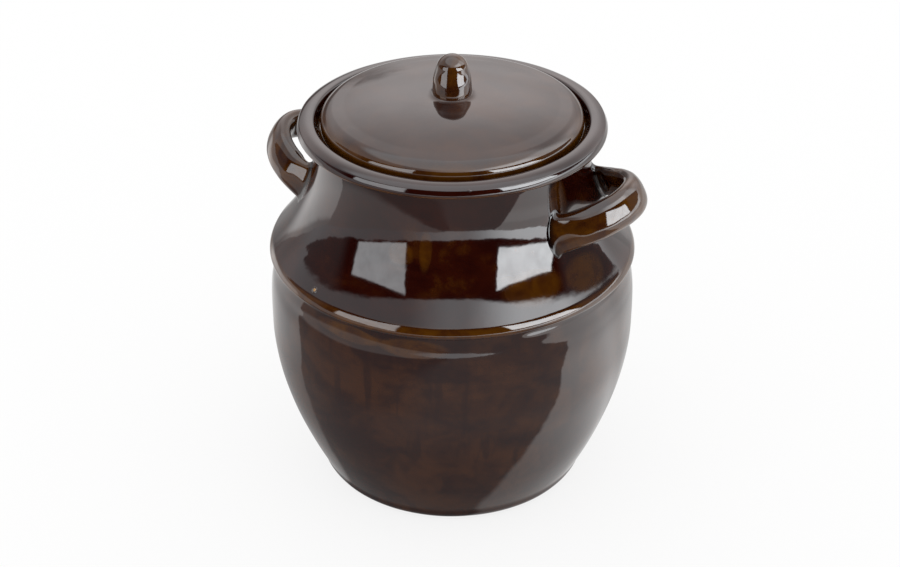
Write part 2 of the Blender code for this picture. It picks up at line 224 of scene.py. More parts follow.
class GlazeLook(bpy.types.PropertyGroup):
    """Colours and gloss of the glaze and the bare clay."""

    deep: paint("Deep glaze", "Thick glaze, almost black red", (0.0140, 0.0011, 0.0004))
    red: paint("Red glaze", "Glaze of middling thickness on the shoulder", (0.038, 0.0048, 0.0006))
    brown: paint("Brown glaze", "Glaze of middling thickness on the belly", (0.042, 0.0110, 0.0022))
    amber: paint("Amber glaze", "Thin glaze on crests and edges", (0.084, 0.028, 0.0010))
    ochre: paint("Ochre", "Clay that shows in pinholes and nicks", (0.42, 0.22, 0.06))
    # Near black: glaze pooled in turning lines, and painted shade in the creases where the straps meet the
    # wall
    pooled_and_shaded: paint("Pooled glaze", "Glaze pooled in creases and turning lines", (0.004, 0.001, 0.0006))
    clay: paint("Clay", "Bare fired clay of the weights", (0.36, 0.27, 0.19))
    speck: paint("Speck", "Iron specks in the clay", (0.10, 0.055, 0.03))
    roughness: share("Roughness", "Roughness of the clean glaze", 0.035)


class StudioLook(bpy.types.PropertyGroup):
    """Camera and surroundings."""

    lens: bpy.props.FloatProperty(name="Lens", description="Focal length in mm", default=75.4)
    distance: size("Distance", "From the camera to the point it looks at", 1.3195)
    target_height: size("Target height", "Height of the point it looks at", 0.1365)
    floor_radius: size("Floor radius", "Radius of the pale floor", 6.0)


GROUPS = {
    "crock_sizes": CrockSizes,
    "lid_sizes": LidSizes,
    "handle_sizes": HandleSizes,
    "weight_sizes": WeightSizes,
    "glaze_look": GlazeLook,
    "studio_look": StudioLook,
}


# Sections of the turned pieces


def oval(center, radii, start, end, spans):
    """Points of an ellipse about center, in (radius, height), from the angle start to end in degrees."""
    turns = [math.radians(start + (end - start) * i / spans) for i in range(spans + 1)]
    return [(center[0] + radii[0] * math.cos(a), center[1] + radii[1] * math.sin(a)) for a in turns]


def arc(center, radius, start, end, spans):
    """Points of a circle about center, in the same way."""
    return oval(center, (radius, radius), start, end, spans)


def eased(low, high, spans):
    """Points of a soft S from low to high, upright at both ends, without its first point."""
    steps = [i / spans for i in range(1, spans + 1)]
    return [
        (low[0] + (high[0] - low[0]) * s * s * (3 - 2 * s), low[1] + (high[1] - low[1]) * s)
        for s in steps
    ]


def straight(one, other, spans):
    """Points of a straight line from one to other."""
    return [tuple(a + (b - a) * i / spans for a, b in zip(one, other)) for i in range(spans + 1)]


def belly(sizes, wall):
    """The belly's curve from the heel to its widest point, a wall's depth inside the outer face."""
    heel_radius = sizes.base_radius + sizes.heel_reach
    fullness = 1.7
    spans = 30
    points = []
    for i in range(spans + 1):
        swell = 1 - (1 - i / spans) ** fullness
        radius = heel_radius + (sizes.belly_radius - heel_radius) * swell
        points.append((radius - wall, sizes.heel_rise + sizes.belly_rise * i / spans))
    return points


def belly_top(sizes):
    """The belly's upper part, which draws in faster and faster, then the throat under the ridge."""
    belly_z = sizes.heel_rise + sizes.belly_rise
    top_radius = sizes.belly_radius - sizes.belly_top_draw
    fullness = 5
    top_spans = 18
    throat_spans = 8
    points = []
    for i in range(1, top_spans + 1):
        out = i / top_spans
        radius = sizes.belly_radius - sizes.belly_top_draw * out**fullness
        points.append((radius, belly_z + sizes.belly_top_rise * out))
    for i in range(1, throat_spans + 1):
        out = i / throat_spans
        radius = top_radius - sizes.throat_draw * (1 - (1 - out) ** 2)
        points.append((radius, belly_z + sizes.belly_top_rise + sizes.throat_rise * out))
    return points


def ridge_place(sizes):
    """The middle of the ridge's lower edge, in (radius, height)."""
    radius = sizes.belly_radius - sizes.belly_top_draw + sizes.ridge_stand - sizes.ridge_edge
    rises = (sizes.heel_rise, sizes.belly_rise, sizes.belly_top_rise, sizes.throat_rise, sizes.ridge_edge)
    return radius, sum(rises)


def moved(center, by, turn):
    """A point moved by a distance in the direction of an angle."""
    return center[0] + by * math.cos(turn), center[1] + by * math.sin(turn)


def shoulder(sizes, wall):
    """The ridge's crest, the straight run and the hollow sweep to the neck, a wall inside the outer face."""
    edge_center = ridge_place(sizes)
    neck_z = edge_center[1] + sizes.shoulder_rise
    tilt = sizes.shoulder_tilt
    flat_tilt = tilt + sizes.shoulder_bend
    crest_center = moved(edge_center, sizes.ridge_edge - sizes.ridge_round, sizes.ridge_lean)
    turn = moved(crest_center, sizes.ridge_round, flat_tilt)
    run_round = sizes.shoulder_run / (math.sin(flat_tilt) - math.sin(tilt))
    run_center = moved(turn, run_round, flat_tilt)
    run_radius, run_z = moved(run_center, -run_round, tilt)
    neck_tilt = 2 * math.atan2(run_radius - sizes.neck_radius, neck_z - run_z) - tilt
    sweep_radius = (neck_z - run_z) / (math.sin(tilt) - math.sin(neck_tilt))
    sweep_center = moved((run_radius, run_z), sweep_radius, tilt)
    crest_round = max(sizes.ridge_round - wall, sizes.edge_round)
    lean = math.degrees(sizes.ridge_lean)
    crest = arc(crest_center, crest_round, lean, math.degrees(flat_tilt), spans=9)
    starts = (180 + math.degrees(flat_tilt), 180 + math.degrees(tilt), 180 + math.degrees(neck_tilt))
    run = arc(run_center, run_round + wall, starts[0], starts[1], spans=8)
    sweep = arc(sweep_center, sweep_radius + wall, starts[1], starts[2], spans=34)
    return crest[:-1] + run[:-1] + sweep


def outer_face(sizes):
    """The crock's outer face from the base's edge to the neck, with the ridge that overhangs the throat."""
    heel_center = (sizes.base_radius, sizes.heel_rise)
    heel = oval(heel_center, (sizes.heel_reach, sizes.heel_rise), -90, 0, spans=10)
    points = heel + belly(sizes, 0)[1:] + belly_top(sizes)
    points += arc(ridge_place(sizes), sizes.ridge_edge, -90, math.degrees(sizes.ridge_lean), spans=12)
    return points + shoulder(sizes, 0)[1:]


def inner_face(sizes):
    """The crock's inner face from the centre of the floor up to the mouth."""
    corner_top = sizes.floor_thickness + sizes.floor_corner
    side = [point for point in belly(sizes, sizes.belly_wall) if point[1] > corner_top]
    corner_radius = side[0][0] - sizes.floor_corner
    corner = arc((corner_radius, corner_top), sizes.floor_corner, -90, 0, spans=10)
    neck_wall = sizes.neck_radius - sizes.mouth_radius
    upper = shoulder(sizes, neck_wall)
    draw_in = eased(side[-1], upper[0], spans=14)
    return [(0, sizes.floor_thickness)] + corner[:-1] + side + draw_in + upper[1:]


def lip(sizes, low):
    """The rim's lip, from its soft inner edge over the top, down the leaning face and round under."""
    lean = sizes.lip_lean
    brow_turn = 60
    inner_turn = 96
    under_round = sizes.lip_under
    brow_round = 0.002
    top_round = 0.014
    inner_round = 0.0026
    under = (sizes.lip_radius - under_round, low + under_round)
    face_top = (under[0] - sizes.lip_face * math.sin(lean), under[1] + sizes.lip_face * math.cos(lean))
    brow = moved(face_top, under_round - brow_round, lean)
    top = moved(brow, brow_round - top_round, math.radians(brow_turn))
    inner = moved(top, top_round - inner_round, math.radians(inner_turn))
    centers = (inner, top, brow, under)
    rounds = (inner_round, top_round, brow_round, under_round)
    turns = (180, inner_turn, brow_turn, math.degrees(lean), -90)
    points = []
    for center, radius, start, end in zip(centers, rounds, turns, turns[1:]):
        points += arc(center, radius, start, end, spans=8)[bool(points) :]
    return points


def crock_section(sizes):
    """The crock's section: up the inside, over the rim and down the outside."""
    rim_z = CROCK_HIGH.z
    ledge_z = rim_z - sizes.ledge_depth
    small = sizes.edge_round
    mouth = inner_face(sizes)
    points = mouth + arc((mouth[-1][0] + small, ledge_z - small), small, 180, 90, spans=5)
    points += arc((sizes.gallery_radius - small, ledge_z + small), small, 270, 360, spans=5)
    points += lip(sizes, rim_z - sizes.lip_height)
    fillet_center = (sizes.neck_radius + sizes.lip_fillet, rim_z - sizes.lip_height - sizes.lip_fillet)
    points += arc(fillet_center, sizes.lip_fillet, 90, 180, spans=10)
    points += outer_face(sizes)[-2::-1]
    ring_radius = sizes.base_radius - sizes.foot_ring_width
    points.append((ring_radius, 0))
    points.append((ring_radius - sizes.foot_recess, sizes.foot_recess))
    points.append((0, sizes.foot_recess))
    return points


def lid_crown(sizes, radius):
    """Height of the lid's upper face at a radius."""
    crown_run = sizes.radius - sizes.edge_reach - sizes.land
    out = max(radius - sizes.land, 0) / crown_run
    near = min(max(1 - (radius - sizes.knob_radius) / sizes.foot_run, 0), 1)
    return LID_HIGH.z - sizes.crown * out * out + sizes.foot_swell * near * near


def lid_section(sizes):
    """The lid's section: down over the low crown and the rounded edge, then in under the flat seat."""
    small = sizes.edge_round
    crown_radius = sizes.radius - sizes.edge_reach
    crown_run = crown_radius - sizes.land
    foot_spans = 8
    crown_spans = 26
    hollow_spans = 15
    radii = [0, 0.5 * sizes.knob_radius]
    radii += [sizes.knob_radius + sizes.foot_run * i / foot_spans for i in range(foot_spans)]
    start = sizes.knob_radius + sizes.foot_run
    radii += [start + (crown_radius - start) * i / crown_spans for i in range(crown_spans)]
    points = [(radius, lid_crown(sizes, radius)) for radius in radii]
    slope = 2 * sizes.crown / crown_run
    edge_turn = math.degrees(math.atan2(sizes.edge_rise, sizes.edge_reach * slope))
    reach = (sizes.edge_reach, sizes.edge_rise)
    points += oval((crown_radius, LID_LOW.z + sizes.edge), reach, edge_turn, 0, spans=18)
    points += arc((sizes.radius - small, LID_LOW.z + small), small, 0, -90, spans=6)
    hollow_radius = sizes.radius - sizes.seat_width
    points.append((hollow_radius, LID_LOW.z))
    for i in range(hollow_spans + 1):
        radius = hollow_radius * (1 - i / hollow_spans)
        points.append((radius, lid_crown(sizes, radius) - sizes.wall))
    return points


def knob_section(sizes):
    """The knob's section: an upright side that tapers into a round top, with a small chamfer at its foot."""
    foot_z = KNOB_LOW.z
    side_z = foot_z + sizes.knob_side_rise
    top_z = side_z + sizes.knob_taper_rise
    dome_end = 16
    taper_spans = 4
    skirt_spans = 5
    chamfer_rise = 0.0012
    chamfer_reach = 0.0004
    dome = oval((0, top_z), (sizes.knob_top_radius, KNOB_HIGH.z - top_z), 90, dome_end, spans=24)
    side = (sizes.knob_side_radius, side_z)
    foot = (sizes.knob_radius, foot_z + chamfer_rise)
    taper = straight(dome[-1], side, taper_spans)[1:-1]
    skirt = straight(side, foot, skirt_spans)
    return dome + taper + skirt + [(sizes.knob_radius - chamfer_reach, foot_z), (0, foot_z)]


# Modelling by hand in edit mode


def start_piece(name, add, **options):
    """Adds a primitive, with nothing else selected, and names it."""
    bpy.ops.object.select_all(action="DESELECT")
    add(**options)
    piece = bpy.context.object
    piece.name = name
    piece.data.name = name
    return piece


def weld():
    """Merges doubles and turns all faces outwards, from edit mode back to object mode, shaded smooth."""
    bpy.ops.mesh.select_all(action="SELECT")
    bpy.ops.mesh.remove_doubles(threshold=WELD_DISTANCE)
    bpy.ops.mesh.normals_make_consistent(inside=False)
    bpy.ops.object.mode_set(mode="OBJECT")
    bpy.ops.object.shade_smooth_by_angle(angle=SHARP_ANGLE)


def thrown(name, section, steps):
    """A piece turned about Z: a point is drawn along the half section and spun right round."""
    piece = start_piece(name, bpy.ops.mesh.primitive_plane_add, size=0.001)
    bpy.ops.object.mode_set(mode="EDIT")
    bpy.ops.mesh.select_all(action="SELECT")
    bpy.ops.mesh.merge(type="CENTER")
    bpy.ops.transform.translate(value=(section[0][0], 0, section[0][1]))
    for (radius, height), (next_radius, next_height) in zip(section, section[1:]):
        step = (next_radius - radius, 0, next_height - height)
        bpy.ops.mesh.extrude_region_move(TRANSFORM_OT_translate={"value": step})
    bpy.ops.mesh.select_all(action="SELECT")
    bpy.ops.mesh.spin(steps=steps, angle=2 * math.pi, center=(0, 0, 0), axis=(0, 0, 1))
    weld()
    return piece


def apply_modifier(piece, name, kind, **settings):
    """Adds a modifier to the piece and applies it."""
    bpy.context.view_layer.objects.active = piece
    modifier = piece.modifiers.new(name, kind)
    for key, value in settings.items():
        setattr(modifier, key, value)
    bpy.ops.object.modifier_apply(modifier=name)


def made_uneven(piece, depth, patch):
    """Lets the surface wander inwards by up to a depth, in patches of a size, as on a pot turned by hand."""
    drift = bpy.data.textures.new(piece.name + "_drift", "CLOUDS")
    drift.noise_scale = patch
    drift.noise_depth = 1
    apply_modifier(
        piece, "Unevenness", "DISPLACE", texture=drift, strength=depth, mid_level=1.0, texture_coords="LOCAL"
    )


def opposite(piece, name):
    """A copy of the piece, with its own mesh, on the crock's other side."""
    copy = piece.copy()
    copy.data = piece.data.copy()
    copy.name = name
    copy.data.name = name
    bpy.context.collection.objects.link(copy)
    copy.data.transform(Matrix.Rotation(math.pi, 4, "Z"))
    return copy


def finish_piece(piece, material, body, node):
    """Gives the piece its material, body and slot, and lets it stand for its node."""
    piece.data.materials.clear()
    piece.data.materials.append(material)
    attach(piece, body)
    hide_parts(node)


# Shader arithmetic


def adds(operation, reflected=False):
    """A method of Field that adds a Math node, with the field as its second value where reflected."""
    if reflected:
        return lambda field, other: field.math(operation, other, field)
    return lambda field, *others: field.math(operation, field, *others)


class Field:
    """A number that varies over a surface. Arithmetic on it adds Math nodes."""

    def __init__(self, recipe, socket):
        self.recipe = recipe
        self.socket = socket

    def math(self, operation, *values):
        """The result of a Math node on some values."""
        return self.recipe.field("ShaderNodeMath", {"operation": operation}, dict(enumerate(values)))

    __add__ = adds("ADD")
    __radd__ = adds("ADD", reflected=True)
    __sub__ = adds("SUBTRACT")
    __rsub__ = adds("SUBTRACT", reflected=True)
    __mul__ = adds("MULTIPLY")
    __rmul__ = adds("MULTIPLY", reflected=True)
    __truediv__ = adds("DIVIDE")
    __pow__ = adds("POWER")
    __abs__ = adds("ABSOLUTE")

    def __neg__(self):
        return self * -1

    def rise(self, low, high):
        """0 below low, 1 above high, with a soft S between."""
        return self.recipe.field(
            "ShaderNodeMapRange",
            {"interpolation_type": "SMOOTHSTEP"},
            {"Value": self, "From Min": low, "From Max": high},
        )

    def band(self, low, high, edge):
        """1 from low to high and 0 outside, each end softened over an edge."""
        return self.rise(low - edge, low + edge) * (1 - self.rise(high - edge, high + edge))


class Recipe:
    """Adds nodes to one node tree."""

    def __init__(self, tree):
        self.tree = tree
        tree.nodes.clear()

    def node(self, kind, settings=None, sockets=None):
        """A node of a type, with its settings, then the values or links of its sockets."""
        node = self.tree.nodes.new(kind)
        for key, value in (settings or {}).items():
            setattr(node, key, value)
        for key, value in (sockets or {}).items():
            socket = node.inputs[key]
            if isinstance(value, Field):
                value = value.socket
            if isinstance(value, bpy.types.NodeSocket):
                self.tree.links.new(value, socket)
            else:
                socket.default_value = value
        return node

    def field(self, kind, settings=None, sockets=None, output=0):
        """The chosen output of a new node, ready for arithmetic."""
        return Field(self, self.node(kind, settings, sockets).outputs[output])

    def shader(self, kind, sockets):
        """The shader that a new node gives."""
        return self.node(kind, None, sockets).outputs[0]

    def mix(self, factor, one, other):
        """A colour from one to other as the factor goes from 0 to 1."""
        settings = {"data_type": "RGBA", "clamp_factor": True}
        return self.node("ShaderNodeMix", settings, {0: factor, 6: full(one), 7: full(other)}).outputs[2]

    def measure(self, operation, *vectors):
        """The number that a Vector Math node gives for some vectors."""
        sockets = dict(enumerate(vectors))
        return self.field("ShaderNodeVectorMath", {"operation": operation}, sockets, output=1)

    def dot(self, vector, constant):
        """How far a vector points along a constant one."""
        return self.measure("DOT_PRODUCT", vector, constant)

    def azimuth(self, vector):
        """Degrees from the camera's side round to the right."""
        across = self.dot(vector, ACROSS)
        return across.math("DEGREES", across.math("ARCTAN2", across, self.dot(vector, TOWARDS)))

    def noise(self, vector, scale, detail=2.0, roughness=0.5, stretch=(1, 1, 1), distortion=0.0):
        """Soft noise from 0 to 1, stretched along the axes."""
        place = self.node("ShaderNodeMapping", {"vector_type": "POINT"}, {"Vector": vector, "Scale": stretch})
        sockets = {"Vector": place.outputs[0], "Scale": scale, "Detail": detail}
        sockets.update({"Roughness": roughness, "Distortion": distortion})
        return self.field("ShaderNodeTexNoise", {"noise_dimensions": "3D"}, sockets)


def full(color):
    """A colour with its alpha, or a socket as it is."""
    if isinstance(color, (bpy.types.NodeSocket, Field)):
        return color
    return (*color, 1.0)


# Glaze and clay


def new_material(name):
    """An empty material, its recipe, and the place on the piece that its patterns follow."""
    material = bpy.data.materials.new(name)
    material.use_nodes = True
    r = Recipe(material.node_tree)
    return material, r, r.node("ShaderNodeTexCoord").outputs["Object"]


def cover(r, strength, height, sockets):
    """Feeds the piece's shader, with a bump of a height in metres."""
    bump = r.node("ShaderNodeBump", None, {"Strength": strength, "Distance": 1.0, "Height": height})
    shader = r.shader("ShaderNodeBsdfPrincipled", {"Normal": bump.outputs[0], **sockets})
    r.node("ShaderNodeOutputMaterial", None, {"Surface": shader})


def glaze(name, look, thinning, spots=()):
    """A glossy iron glaze: deep red where thick, brown where it is thinner and amber where it has run thin.

    thinning gives where it has run thin, where it is brown and its relief in metres. spots are pinholes.
    """
    material, r, place = new_material(name)
    patches = r.noise(place, 22, detail=3, roughness=0.6, stretch=(1, 1, 1.4), distortion=0.6)
    clouds = r.noise(place, 55, detail=4, roughness=0.65, stretch=(1, 1, 1.2), distortion=0.3)
    brush = r.noise(place, 70, roughness=0.6, stretch=(0.4, 0.4, 5))
    turning = r.noise(place, 200, roughness=0.6, stretch=(0.06, 0.06, 2))
    drips = r.noise(place, 80, detail=3, roughness=0.6, stretch=(1, 1, 0.12)).rise(0.52, 0.66)
    run, brown, relief = thinning(r, place, patches, clouds)

    # Deep where thick, brown or red in patches, and dark again along drips on the belly
    thin = (0.6 * patches + 0.3 * clouds + 0.1 * brush).rise(0.40, 0.62)
    middling = r.mix(brown, look.red, look.brown)
    color = r.mix(thin * (0.45 + 0.55 * brown - 0.7 * drips * brown), look.deep, middling)

    # Amber where it has run thin, nearly black in turning lines where glaze pools, and nearly black in the
    # creases at the straps' roots as pooled glaze and painted shade
    color = r.mix(run, color, r.mix(clouds.rise(0.3, 0.6), look.brown, look.amber))
    color = r.mix((turning - 0.5) * 0.5 * run + 0.12 * brush, color, look.pooled_and_shaded)
    # Painted shade: the strap is darkened to near black where it meets the wall
    crease_shade = r.field("ShaderNodeAttribute", {"attribute_name": "crease_shade"}, output=2)
    color = r.mix(crease_shade, color, look.pooled_and_shaded)

    # Soft waves in its surface, and pinholes with a raised edge
    wave_depth = 0.00018
    ripple_depth = 0.00005
    edge_height = 0.0003
    height = wave_depth * r.noise(place, 26) + ripple_depth * r.noise(place, 90) + relief
    for center, radius in spots:
        gap = r.measure("DISTANCE", place, center)
        pit = 1 - gap.rise(0.35 * radius, radius)
        color = r.mix(pit, color, look.ochre)
        height = height + edge_height * (gap.rise(0.5 * radius, radius) - gap.rise(radius, 1.6 * radius))
    roughness = look.roughness + 0.03 * r.noise(place, 40, detail=3)
    cover(r, 1.0, height, {"Base Color": color, "Roughness": roughness, "IOR": 1.5})
    return material


def blot(r, place, center, reach, clouds):
    """A patch of glaze on the pot with a ragged edge, at (azimuth from the camera's side, height)."""
    turn = center[0] - r.azimuth(place)
    rise = center[1] - r.dot(place, UP)
    gap = ((turn / reach[0]) ** 2 + (rise / reach[1]) ** 2) + 1.6 * (clouds - 0.5)
    return 1 - gap.rise(0.6, 1.3)


def pot_thinning(r, place, patches, clouds):
    """Amber on the ridge, the lip's edge and in patches, brown on the belly, a swell at the belly's top."""
    height = r.dot(place, UP)
    wander = height + 0.004 * (clouds - 0.5)
    ridge = wander.band(0.1718, 0.1772, 0.0012)
    lip_edge = height.band(0.2586, 0.2612, 0.0008)
    loose = wander.band(0.19, 0.235, 0.01) * clouds.rise(0.5, 0.66) * patches.rise(0.46, 0.6)
    run = 0.85 * ridge + 0.9 * lip_edge + 0.25 * loose
    for depth, center, reach in AMBER_PATCHES:
        run = run + depth * blot(r, place, center, reach, clouds)
    brown = 1 - wander.rise(0.166, 0.186)
    swell = height.rise(0.148, 0.1625) * (1 - height.rise(0.1625, 0.169))
    relief = 0.0010 * swell * r.azimuth(place).rise(14, 26)
    return run, brown, relief


def lid_thinning(r, place, patches, clouds):
    """The lid's glaze is red brown, and amber round its edge."""
    height = r.dot(place, UP) + 0.004 * (clouds - 0.5)
    edge = 1 - height.rise(0.2700, 0.2745)
    return 0.7 * edge + 0.1 + 0.2 * patches.rise(0.4, 0.7), 0.45, 0.0


def knob_thinning(r, place, patches, clouds):
    """The knob is thinly glazed all over."""
    return 0.45 + 0.5 * clouds.rise(0.4, 0.7), 1.0, 0.0


def handle_thinning(r, place, patches, clouds):
    """The glaze has run thin along the straps."""
    return 0.2 + 0.75 * patches.rise(0.42, 0.6), 0.7, 0.0


def fired_clay(look):
    """Bare fired clay with iron specks and a slightly open grain."""
    material, r, place = new_material("weight_clay")
    cloud = r.noise(place, 30, detail=4, roughness=0.6)
    grain = r.noise(place, 900, detail=3, roughness=0.6)
    dots = r.node("ShaderNodeTexVoronoi", {"feature": "F1"}, {"Vector": place, "Scale": 420})
    speck = 1 - Field(r, dots.outputs["Distance"]).rise(0.10, 0.22)
    pale = tuple(1.2 * c for c in look.clay)
    dark = tuple(0.8 * c for c in look.clay)
    color = r.mix(cloud.rise(0.35, 0.65), dark, pale)
    color = r.mix(speck * r.noise(place, 200).rise(0.5, 0.6), color, look.speck)
    grain_depth = 0.0001
    cloud_depth = 0.0002
    height = grain_depth * grain + cloud_depth * cloud
    cover(r, 0.8, height, {"Base Color": color, "Roughness": 0.7 + 0.2 * grain})
    return material


# Operators


class CROCK_OT_body(bpy.types.Operator):
    """Throw the pot: wall, ridge, rim and ledge"""

    bl_idname = "crock.body"
    bl_label = "Throw crock body"
    bl_options = {"REGISTER", "UNDO"}

    def execute(self, context):
        sizes = context.scene.crock_sizes
        piece = thrown("thrown_crock", crock_section(sizes), CROCK_STEPS)
        made_uneven(piece, depth=sizes.unevenness, patch=0.05)
        spots = [(spot_on_wall(sizes, azimuth, height), radius) for azimuth, height, radius in PINHOLES]
        material = glaze("crock_glaze", context.scene.glaze_look, pot_thinning, spots)
        finish_piece(piece, material, "crock", "crock_body")
        return {"FINISHED"}


def spot_on_wall(sizes, azimuth, height):
    """A point on the outer wall at an azimuth from the camera's side, to the right, and a height."""
    face = outer_face(sizes) + [(sizes.lip_radius, CROCK_HIGH.z)]
    radius = radius_at(face, height)
    turn = CAMERA_AZIMUTH + math.radians(azimuth)
    return (radius * math.sin(turn), -radius * math.cos(turn), height)


def radius_at(face, height):
    """The radius of an outer face at a height."""
    for (low_radius, low), (high_radius, high) in zip(face, face[1:]):
        if low <= height <= high:
            return low_radius + (high_radius - low_radius) * (height - low) / (high - low)
    return face[-1][0]


def wall_gap(face, place):
    """How far a point lies outside the wall, and the way straight out of the wall there."""
    radius = math.hypot(place.x, place.y)
    step = 0.001
    slope = (radius_at(face, place.z + step) - radius_at(face, place.z - step)) / (2 * step)
    outward = Vector((place.x / radius, place.y / radius, -slope)).normalized()
    return (radius - radius_at(face, place.z)) / math.sqrt(1 + slope * slope), outward


def handle_route(sizes, face):
    """The middle line of the handle on +X from root to root, its points closer together at the roots."""
    root_radius = radius_at(face, sizes.height) - sizes.sink
    root = Vector((math.sqrt(root_radius**2 - sizes.half_spread**2), sizes.half_spread, sizes.height))
    tip = Vector((root.x + sizes.projection, 0, sizes.height + sizes.lift))
    root_pull = root + Vector((sizes.root_run, -sizes.root_toe_in, -sizes.root_drop))
    tip_pull = tip + Vector((0, sizes.tip_run, 0))
    fine = 2000
    curve = interpolate_bezier(root, root_pull, tip_pull, tip, fine + 1)
    crowding = 1.5
    half = [curve[round(fine * (i / HANDLE_STATIONS) ** crowding)] for i in range(HANDLE_STATIONS + 1)]
    return half + [Vector((p.x, -p.y, p.z)) for p in half[-2::-1]]


def strap_frame(before, after, lean):
    """Axes across the strap between two points of its route: thin way, wide way and along it."""
    along = (after - before).normalized()
    up = (Vector(UP) - along * along.z).normalized()
    out = up.cross(along)
    wide = up * math.cos(lean) - out * math.sin(lean)
    return Matrix((wide.cross(along), wide, along)).transposed()


class CROCK_OT_handles(bpy.types.Operator):
    """Pull the two loop handles and press them on the shoulder"""

    bl_idname = "crock.handles"
    bl_label = "Pull handles"
    bl_options = {"REGISTER", "UNDO"}

    def execute(self, context):
        sizes = context.scene.handle_sizes
        face = outer_face(context.scene.crock_sizes)
        route = handle_route(sizes, face)
        right = self.pull(sizes, route)
        self.press_on(right, sizes, route, face)
        left = opposite(right, "left_strap")
        for piece, node in ((right, "handle_right"), (left, "handle_left")):
            made_uneven(piece, depth=0.0006, patch=0.016)
            material = glaze(node + "_glaze", context.scene.glaze_look, handle_thinning)
            finish_piece(piece, material, "crock", node)
        return {"FINISHED"}

    def pull(self, sizes, route):
        """Oval rings along the route, bridged one to the next."""
        falloff = 6
        length = [0.0]
        for one, other in zip(route, route[1:]):
            length.append(length[-1] + (other - one).length)
        piece = None
        for i, place in enumerate(route):
            from_middle = abs(2 * length[i] / length[-1] - 1)
            swell = 1 + sizes.root_swell * from_middle**falloff
            axes = strap_frame(route[max(i - 1, 0)], route[min(i + 1, len(route) - 1)], sizes.lean)
            ring = {
                "vertices": HANDLE_SIDES,
                "radius": sizes.thickness / 2 * swell,
                "location": place,
                "rotation": axes.to_euler(),
            }
            if piece is None:
                piece = start_piece("right_strap", bpy.ops.mesh.primitive_circle_add, **ring)
                bpy.ops.object.transform_apply(location=True, rotation=True, scale=True)
                bpy.ops.object.mode_set(mode="EDIT")
                bpy.ops.mesh.select_all(action="SELECT")
            else:
                bpy.ops.mesh.primitive_circle_add(**ring)
            bpy.ops.transform.resize(
                value=(1, sizes.width / sizes.thickness, 1),
                orient_type="GLOBAL",
                orient_matrix=axes,
                orient_matrix_type="GLOBAL",
                center_override=place,
            )
        for first in range(0, HANDLE_SIDES * (len(route) - 1), HANDLE_SIDES):
            bpy.ops.mesh.select_all(action="DESELECT")
            mesh = bmesh.from_edit_mesh(piece.data)
            mesh.verts.ensure_lookup_table()
            for vert in mesh.verts[first : first + 2 * HANDLE_SIDES]:
                vert.select = True
            mesh.select_flush(True)
            bpy.ops.mesh.bridge_edge_loops()
        bpy.ops.mesh.select_all(action="DESELECT")
        bpy.ops.mesh.select_non_manifold()
        bpy.ops.mesh.fill_holes(sides=HANDLE_SIDES)
        weld()
        return piece

    def press_on(self, piece, sizes, route, face):
        """Flattens the strap, lays its end rings along the wall and flares it there in a round of clay."""
        root_flatness = 2.1
        crease_start = 1.25
        crease_reach = 0.7 * sizes.fillet
        # How near each point lies to the wall, for the painted crease shade in the glaze: 1 at the wall, 0 a
        # few millimetres out
        crease_shade = piece.data.attributes.new("crease_shade", "FLOAT", "POINT").data
        for i, vert in enumerate(piece.data.vertices):
            middle = route[i // HANDLE_SIDES]
            middle_gap = wall_gap(face, middle)[0]
            settled = min(max(1 - middle_gap / sizes.settle, 0), 1)
            settled = settled * settled * (3 - 2 * settled)
            flatness = sizes.flatness + (root_flatness - sizes.flatness) * settled
            turn = 2 * math.pi * (i % HANDLE_SIDES) / HANDLE_SIDES
            parts = abs(math.cos(turn)) ** flatness + abs(math.sin(turn)) ** flatness
            vert.co = middle + (vert.co - middle) * parts ** (-1 / flatness)
            gap, outward = wall_gap(face, vert.co)
            vert.co += outward * (middle_gap - gap) * settled
            gap, outward = wall_gap(face, vert.co)
            near = min(max(gap / sizes.fillet, 0), 1)
            flare = sizes.fillet * (1 - math.sqrt(1 - (1 - near) ** 2))
            away = vert.co - middle
            away -= outward * away.dot(outward)
            vert.co += away.normalized() * flare
            crease_shade[i].value = min(max(crease_start - gap / crease_reach, 0), 1)


class CROCK_OT_lid(bpy.types.Operator):
    """Throw the low domed lid"""

    bl_idname = "crock.lid"
    bl_label = "Throw lid"
    bl_options = {"REGISTER", "UNDO"}

    def execute(self, context):
        piece = thrown("thrown_lid", lid_section(context.scene.lid_sizes), CROCK_STEPS)
        made_uneven(piece, depth=0.0004, patch=0.035)
        material = glaze("lid_glaze", context.scene.glaze_look, lid_thinning)
        finish_piece(piece, material, "lid", "lid")
        return {"FINISHED"}


class CROCK_OT_knob(bpy.types.Operator):
    """Throw the knob and set it on the lid, leaning back a little"""

    bl_idname = "crock.knob"
    bl_label = "Throw knob"
    bl_options = {"REGISTER", "UNDO"}

    def execute(self, context):
        sizes = context.scene.lid_sizes
        piece = thrown("thrown_knob", knob_section(sizes), KNOB_STEPS)
        away = -Vector(TOWARDS) * math.tan(sizes.knob_lean)
        for vert in piece.data.vertices:
            vert.co += away * min(vert.co.z - KNOB_LOW.z, sizes.knob_side_rise + sizes.knob_taper_rise)
        made_uneven(piece, depth=0.0002, patch=0.012)
        material = glaze("knob_glaze", context.scene.glaze_look, knob_thinning)
        finish_piece(piece, material, "lid", "lid_knob")
        return {"FINISHED"}


